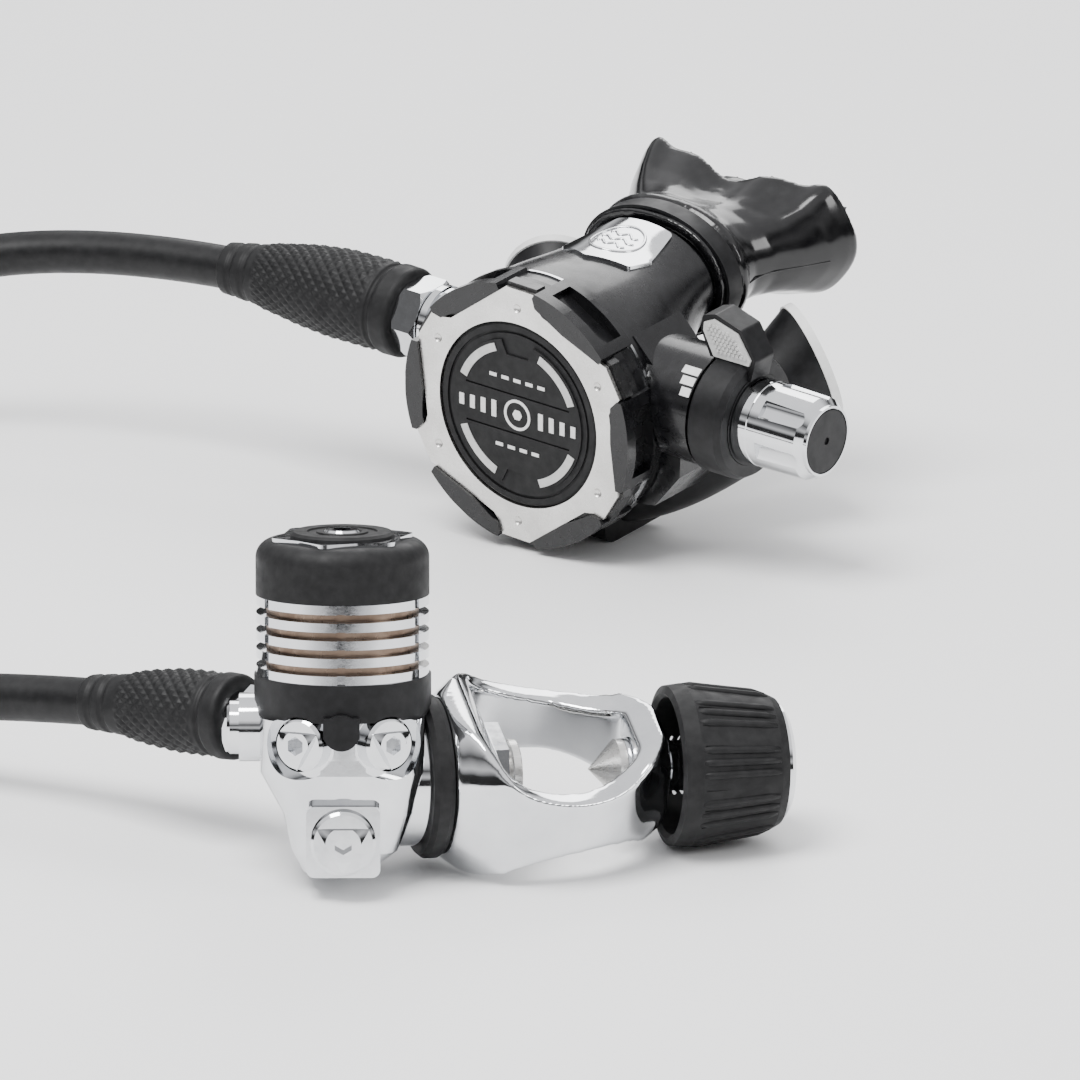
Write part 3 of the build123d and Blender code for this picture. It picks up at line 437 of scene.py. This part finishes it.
# ------------------------------------------------------------------ hose sleeves
# Distance from the hose's end and outer radius, in millimetres: lip, groove, knurled band, ringed tail.
SECOND_PROFILE = [
    (0.0, 10.6), (0.5, 11.6), (1.4, 12.1), (5.6, 12.2), (6.4, 11.8), (6.8, 11.0), (7.8, 11.0),
    (8.3, 11.7), (24.0, 11.6), (34.0, 10.6), (44.0, 8.9), (50.0, 8.0), (50.6, 7.4), (51.8, 7.4),
    (52.4, 7.8), (54.6, 7.5), (55.2, 6.9), (56.4, 6.9), (57.0, 7.2), (59.4, 6.9), (60.0, 6.3),
]
FIRST_PROFILE = [
    (0.0, 9.0), (0.5, 10.0), (1.4, 10.4), (4.6, 10.5), (5.4, 10.0), (5.8, 9.4), (6.6, 9.4),
    (7.1, 9.9), (18.0, 9.8), (27.0, 8.8), (34.0, 7.6), (37.0, 7.3), (37.6, 6.8), (38.6, 6.8),
    (39.2, 7.2), (41.2, 7.0), (41.8, 6.5), (42.8, 6.5), (43.4, 6.9), (45.4, 6.6), (46.0, 6.2),
]
SLEEVE_STEP = 0.0003
SLEEVE_SEGMENTS = 276
SLEEVE_BORE = 5.8
# Knurled bands: start and stop along the sleeve in millimetres, and cells round it.
SECOND_KNURL = (9.0, 48.0)
SECOND_CELLS = 48
FIRST_KNURL = (8.0, 34.0)
FIRST_CELLS = 40
KNURL_DEPTH = 0.55
KNURL_PITCH = 1.75
KNURL_FADE_IN = 1.0
KNURL_FADE_OUT = 1.5


def hose_line():
    """Points of the hose's own spline, in the row frame."""
    bare = spline_curve("hose_guide", HOSE_ROUTE, 0.0)
    bare.data.resolution_u = 60
    mesh = bpy.data.meshes.new_from_object(bare)
    points = [vert.co.copy() for vert in mesh.vertices]
    bpy.data.objects.remove(bare)
    bpy.data.meshes.remove(mesh)
    return points


def frames_along(points, length, step):
    """Places every step metres along a line, each with two directions square to it."""
    places = []
    side = None
    walked = 0.0
    target = 0.0
    for here, there in zip(points, points[1:]):
        run = there - here
        span = run.length
        while span > 0 and target <= walked + span and target <= length:
            ahead = run.normalized()
            if side is None:
                side = ahead.cross(Vector((0, 0, 1))).normalized()
            side = (side - ahead * side.dot(ahead)).normalized()
            places.append((here + ahead * (target - walked), side.copy(), ahead.cross(side), target / MM))
            target += step
        walked += span
    return places


def profile_radius(profile, distance):
    for (x0, r0), (x1, r1) in zip(profile, profile[1:]):
        if distance <= x1:
            return r0 + (r1 - r0) * (distance - x0) / max(x1 - x0, 1e-6)
    return profile[-1][1]


def triangle(value):
    """Zigzag between 0 and 1 with period 1."""
    return abs(2 * (value % 1.0) - 1)


def knurl_relief(distance, share, knurl, cells):
    """Height of the diamond knurling at a distance along the sleeve and a share of its turn."""
    start, stop = knurl
    if not start < distance < stop:
        return 0.0
    turn = cells * share / 2
    rise = distance / KNURL_PITCH / 2
    fade = min(1.0, (distance - start) / KNURL_FADE_IN, (stop - distance) / KNURL_FADE_OUT)
    return KNURL_DEPTH * fade * min(triangle(turn + rise), triangle(turn - rise))


def make_sleeve(name, points, profile, knurl, cells):
    """Moulded rubber sleeve: a smooth lip, a band of diamond knurling, and a ringed tail."""
    shape = bmesh.new()
    outer = []
    bore = []
    shares = [i / SLEEVE_SEGMENTS for i in range(SLEEVE_SEGMENTS)]
    for centre, side, up, distance in frames_along(points, profile[-1][0] * MM, SLEEVE_STEP):
        radius = profile_radius(profile, distance)
        ways = [side * cos(2 * pi * share) + up * sin(2 * pi * share) for share in shares]
        reliefs = [knurl_relief(distance, share, knurl, cells) for share in shares]
        outer.append([centre + way * (radius + relief) * MM for way, relief in zip(ways, reliefs)])
        bore.append([centre + way * SLEEVE_BORE * MM for way in ways])
    # The bore is smooth, so one ring in twelve is enough on the way back to the lip.
    skin(shape, outer + bore[::-1][::12] + [bore[0]], closed=True)
    return make_piece(name, shape, "soft_black", "regulator")


def make_sleeves():
    line = hose_line()
    second = make_sleeve("sleeve_second_stage", line, SECOND_PROFILE, SECOND_KNURL, SECOND_CELLS)
    first = make_sleeve("sleeve_first_stage", line[::-1], FIRST_PROFILE, FIRST_KNURL, FIRST_CELLS)
    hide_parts("hose_sleeves")
    return [second, first]


# ------------------------------------------------------------------ marks on the purge button
PURGE_FRONT = -0.30
PURGE_DEPTH = 0.5
PURGE_RING = (3.5, 4.25)
PURGE_RING_PARTS = 48
PURGE_HEXAGON = 1.5
# Upright bars beside the ring: place of the first, step, width, height, and each next one's loss.
BAR_START = 7.6
BAR_STEP = 3.5
BAR_WIDE = 1.5
BAR_HIGH = 4.6
BAR_LOSS = 0.5
# Rows of dashes above and below: Z and count of each row, then the dashes' step, width and height.
DASH_ROWS = [(9.6, 5), (-9.6, 4)]
DASH_STEP = 3.9
DASH_WIDE = 2.3
DASH_HIGH = 0.9


def make_purge_marks():
    """Plain pattern on the button: rows of bars either side of a ring with a hexagon."""
    outlines = []
    for side in (-1, 1):
        for k in range(4):
            x = side * (BAR_START + BAR_STEP * k)
            outlines.append(rectangle(x, 0.0, BAR_WIDE, BAR_HIGH - BAR_LOSS * k))
    for z, count in DASH_ROWS:
        for k in range(count):
            x = (k - (count - 1) / 2) * DASH_STEP
            outlines.append(rectangle(x, z, DASH_WIDE, DASH_HIGH))
    ring_in, ring_out = (polygon(radius, PURGE_RING_PARTS) for radius in PURGE_RING)
    for i in range(PURGE_RING_PARTS):
        j = (i + 1) % PURGE_RING_PARTS
        outlines.append([ring_in[i], ring_in[j], ring_out[j], ring_out[i]])
    outlines.append(polygon(PURGE_HEXAGON, 6))
    shape = bmesh.new()
    for outline in outlines:
        raised_bar(shape, outline, PURGE_FRONT, PURGE_DEPTH, on_second)
    bmesh.ops.remove_doubles(shape, verts=shape.verts, dist=1e-6)
    make_piece("purge_marks", shape, "rim_white", "purge_button", smooth=False)


# ------------------------------------------------------------------ scale on the barrel
BARREL_RADIUS = 15.55
# Bars along the barrel: start of the shortest, growth of each next one, and common end.
SCALE_START = 43.4
SCALE_GROWTH = 1.1
SCALE_END = 46.4
SCALE_SUNK = -0.2
SCALE_DEPTH = 0.35
# Their turns about the barrel, in degrees.
SCALE_FIRST_TURN = 30.0
SCALE_TURN_STEP = 11.0
SCALE_TURN = 8.5


def on_barrel(x, depth, turn):
    """Point by its place along the barrel, its height over the skin, and its turn in degrees."""
    angle = radians(turn)
    radius = BARREL_RADIUS + depth
    return at(SECOND, x, BARREL_Y - radius * cos(angle), BARREL_Z + radius * sin(angle))


def make_barrel_marks():
    """Scale beside the lever: a wedge of growing bars printed round the barrel."""
    shape = bmesh.new()
    for k in range(3):
        start = SCALE_START - SCALE_GROWTH * k
        low = SCALE_FIRST_TURN + SCALE_TURN_STEP * k
        high = low + SCALE_TURN
        outline = [(start, low), (SCALE_END, low), (SCALE_END, high), (start, high)]
        raised_bar(shape, outline, SCALE_SUNK, SCALE_DEPTH, on_barrel)
    make_piece("barrel_marks", shape, "rim_white", "regulator", smooth=False)


# ------------------------------------------------------------------ grip of the Venturi lever
# The pad's outline in X and Z from the lever's place on the barrel's axis, clockwise.
PAD_OUTLINE = [(-8.5, 22.7), (-8.2, 25.0), (-5.2, 26.4), (2.4, 24.2), (6.6, 17.8), (6.0, 16.2), (-5.2, 16.2)]
PAD_MARGIN = 1.1
PAD_FRONT = 4.2
LEVER_X = 52.3
CELL_PITCH = 1.25
CELL_RADIUS = 0.52
CELL_HEIGHT = 0.5
ROW_RATIO = 0.866
ROW_ZERO = 16.0


def inside_pad(x, z):
    """Whether a point is inside the pad's outline by the margin."""
    for (x0, z0), (x1, z1) in zip(PAD_OUTLINE, PAD_OUTLINE[1:] + PAD_OUTLINE[:1]):
        edge = hypot(x1 - x0, z1 - z0)
        if ((x1 - x0) * (z - z0) - (z1 - z0) * (x - x0)) / edge >= -PAD_MARGIN:
            return False
    return True


def make_lever_grip():
    """Honeycomb of raised cells on the lever's pale pad."""
    shape = bmesh.new()
    for row in range(-2, 14):
        for column in range(-12, 12):
            x = (column + 0.5 * (row % 2)) * CELL_PITCH
            z = ROW_ZERO + row * CELL_PITCH * ROW_RATIO
            if inside_pad(x, z):
                cell = polygon(CELL_RADIUS, 6, LEVER_X + x, BARREL_Z + z, pi / 6)
                raised_bar(shape, cell, BARREL_Y - PAD_FRONT, CELL_HEIGHT, on_second)
    make_piece("lever_grip", shape, "inlay_grey", "venturi_lever", smooth=False)


# ------------------------------------------------------------------ polished yoke
YOKE_VOXEL = 0.0005
YOKE_SMOOTHING = 26


def make_yoke_casting():
    """The CAD yoke with every edge rounded off, as tumbling and polishing leave it."""
    piece = NODES["yoke"].copy()
    piece.data = NODES["yoke"].data.copy()
    piece.name = "yoke_casting"
    for key in list(piece.keys()):
        del piece[key]
    piece.parent = None
    bpy.context.scene.collection.objects.link(piece)
    fuse(piece, YOKE_VOXEL, YOKE_SMOOTHING)
    piece.data.materials.clear()
    piece.data.materials.append(MATERIALS["chrome"])
    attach(piece, "regulator")
    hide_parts("yoke")


# ------------------------------------------------------------------ emblem on the case badge
BADGE_CENTRE = 42.5
BADGE_OVAL = (7.0, 7.6)
BADGE_OVAL_PARTS = 72
WAVE_ROWS = (-3.0, 0.0, 3.0)
WAVE_HALF_LENGTH = 5.2
OUTER_WAVE_LOSS = 0.75
WAVE_HEIGHT = 0.8
WAVE_PARTS = 24
WAVE_PERIOD = 12
# Width and height of the ridges.
OVAL_RIDGE = (0.9, 0.35)
WAVE_RIDGE = (0.8, 0.3)
# Z of the second stage from which points are dropped on the badge.
DROP_START = 60.0
# Section of a rounded ridge: share of its half width, share of its height.
RIDGE = [(-1.0, -0.25), (-0.9, 0.6), (-0.5, 1.0), (0.5, 1.0), (0.9, 0.6), (1.0, -0.25)]


def raised_strip(shape, tree, points, wide, height, closed=False):
    """Rounded ridge along points of the second stage's X and Y, laid on a node's top skin."""
    rows = []
    count = len(points)
    for i, (x, y) in enumerate(points):
        before = points[(i - 1) % count] if closed or i else points[i]
        after = points[(i + 1) % count] if closed or i < count - 1 else points[i]
        length = hypot(after[0] - before[0], after[1] - before[1])
        side = ((before[1] - after[1]) / length, (after[0] - before[0]) / length)
        row = []
        for share, rise in RIDGE:
            x_here = x + side[0] * share * wide / 2
            y_here = y + side[1] * share * wide / 2
            origin = on_second(x_here, y_here, DROP_START)
            down = (on_second(x_here, y_here, 0.0) - origin).normalized()
            row.append(tree.ray_cast(origin, down)[0] - down * rise * height * MM)
        rows.append(row)
    skin(shape, rows, closed)


def make_badge_emblem():
    """Oval frame with three plain waves, standing on the case badge."""
    tree = BVHTree.FromObject(NODES["case_badge"], bpy.context.evaluated_depsgraph_get())
    shape = bmesh.new()
    turns = [2 * pi * i / BADGE_OVAL_PARTS for i in range(BADGE_OVAL_PARTS)]
    oval = [(BADGE_OVAL[0] * cos(turn), BADGE_CENTRE + BADGE_OVAL[1] * sin(turn)) for turn in turns]
    raised_strip(shape, tree, oval, *OVAL_RIDGE, closed=True)
    for row in WAVE_ROWS:
        reach = WAVE_HALF_LENGTH - (OUTER_WAVE_LOSS if row else 0.0)
        wave = []
        for i in range(WAVE_PARTS + 1):
            rise = WAVE_HEIGHT * sin(2 * pi * i / WAVE_PERIOD)
            wave.append((-reach + 2 * reach * i / WAVE_PARTS, BADGE_CENTRE + row + rise))
        raised_strip(shape, tree, wave, *WAVE_RIDGE)
    make_piece("badge_emblem", shape, "chrome", "regulator")


# ------------------------------------------------------------------ ribs of the yoke knob
YOKE_TURN = radians(14.5)
YOKE_HEIGHT = 20.4
# Distance along the yoke's axis and the knob's radius there.
KNOB_TAPER = [(83.6, 19.4), (86.0, 19.05), (90.0, 18.45), (96.0, 17.6), (101.0, 16.9), (103.6, 16.5)]
RIB_GROUPS = 9
RIB_SHIFTS = (-0.16, 0.0, 0.16)
RIB_ROOT = -0.6
# Height in millimetres and half width in radians, along the rib and at its two ends.
RIB_MIDDLE = (0.75, 0.052)
RIB_END = (0.15, 0.035)


def on_yoke(distance, radius, turn):
    """Point by its distance along the yoke's axis, its distance from it, and its turn about it."""
    out = Vector((cos(YOKE_TURN), sin(YOKE_TURN), 0.0))
    side = Vector((-sin(YOKE_TURN), cos(YOKE_TURN), 0.0))
    up = Vector((0.0, 0.0, 1.0))
    place = Vector((0.0, 0.0, YOKE_HEIGHT)) + out * distance + (side * cos(turn) + up * sin(turn)) * radius
    return at(FIRST, *place)


def make_knob_ribs():
    """Rounded rubber ridges in groups of three along the knob's taper."""
    shape = bmesh.new()
    last = len(KNOB_TAPER) - 1
    for group in range(RIB_GROUPS):
        for shift in RIB_SHIFTS:
            middle = 2 * pi * (group + 0.5) / RIB_GROUPS - pi / 2 + shift
            rings = []
            for index, (distance, radius) in enumerate(KNOB_TAPER):
                rise, half = RIB_END if index in (0, last) else RIB_MIDDLE
                section = [(-half, RIB_ROOT), (-half, 0.3 * rise), (-half / 2, rise),
                           (half / 2, rise), (half, 0.3 * rise), (half, RIB_ROOT)]
                rings.append([on_yoke(distance, radius + out, middle + turn) for turn, out in section])
            skin(shape, rings)
    make_piece("knob_ribs", shape, "soft_black", "yoke_knob")


# ------------------------------------------------------------------ floor and light
FLOOR_HALF_SIZE = 6.0
# Brightness of the studio walls by height, from the horizon (0) to overhead (1).
WALL_TONES = [(0.0, 0.02), (0.14, 0.03), (0.24, 0.60), (0.40, 0.06), (0.62, 0.95), (1.0, 1.0)]
WALL_BLUE = 1.02
WALL_STRENGTH = 1.35
# Name, place, aim, side in metres, power in watts.
LIGHTS = [
    ("key", (-0.5, -0.5, 1.5), (0, 0, 0), 0.8, 36.0),
    ("fill", (1.3, -0.7, 0.8), (0, 0, 0.05), 0.5, 7.0),
    ("back", (0.2, 1.2, 0.9), (0, 0, 0.05), 0.8, 9.0),
]


def make_floor():
    mesh = bpy.data.meshes.new("floor")
    shape = bmesh.new()
    bmesh.ops.create_grid(shape, x_segments=8, y_segments=8, size=FLOOR_HALF_SIZE)
    shape.to_mesh(mesh)
    shape.free()
    floor = bpy.data.objects.new("floor", mesh)
    bpy.context.scene.collection.objects.link(floor)
    shader = Shader("floor_paint")
    paint = shader.ramp(shader.noise(3.0, 2.0), (0.90, 0.90, 0.90), (0.93, 0.93, 0.93))
    shader.join(paint, "Base Color")
    shader.set(Roughness=0.7)
    mesh.materials.append(shader.material)


def area_light(name, place, aim, size, power):
    data = bpy.data.lights.new(name, "AREA")
    data.shape = "SQUARE"
    data.size = size
    data.energy = power
    light = bpy.data.objects.new(name, data)
    bpy.context.scene.collection.objects.link(light)
    light.location = place
    light.rotation_euler = (Vector(aim) - Vector(place)).to_track_quat("-Z", "Y").to_euler()


def make_walls():
    """Studio walls as a world background: dark low down, one soft band, bright overhead."""
    world = bpy.data.worlds.new("studio")
    bpy.context.scene.world = world
    world.use_nodes = True
    nodes = world.node_tree.nodes
    links = world.node_tree.links
    coords = nodes.new("ShaderNodeTexCoord")
    split = nodes.new("ShaderNodeSeparateXYZ")
    links.new(coords.outputs["Generated"], split.inputs["Vector"])
    ramp = nodes.new("ShaderNodeValToRGB")
    elements = ramp.color_ramp.elements
    while len(elements) < len(WALL_TONES):
        elements.new(0.5)
    for element, (height, grey) in zip(elements, WALL_TONES):
        element.position = height
        element.color = (grey, grey, grey * WALL_BLUE, 1.0)
    links.new(split.outputs["Z"], ramp.inputs["Fac"])
    background = nodes["Background"]
    links.new(ramp.outputs["Color"], background.inputs["Color"])
    background.inputs["Strength"].default_value = WALL_STRENGTH


# ------------------------------------------------------------------ the scene
make_camera()
make_materials()
dress_cad_nodes()
HOSE = make_hose()
make_yoke_casting()
make_knob_ribs()
make_badge_emblem()
make_mouthpiece()
make_mouthpiece_seam()
SLEEVES = make_sleeves()
make_purge_marks()
make_barrel_marks()
make_lever_grip()
make_floor()
make_walls()
for light in LIGHTS:
    area_light(*light)
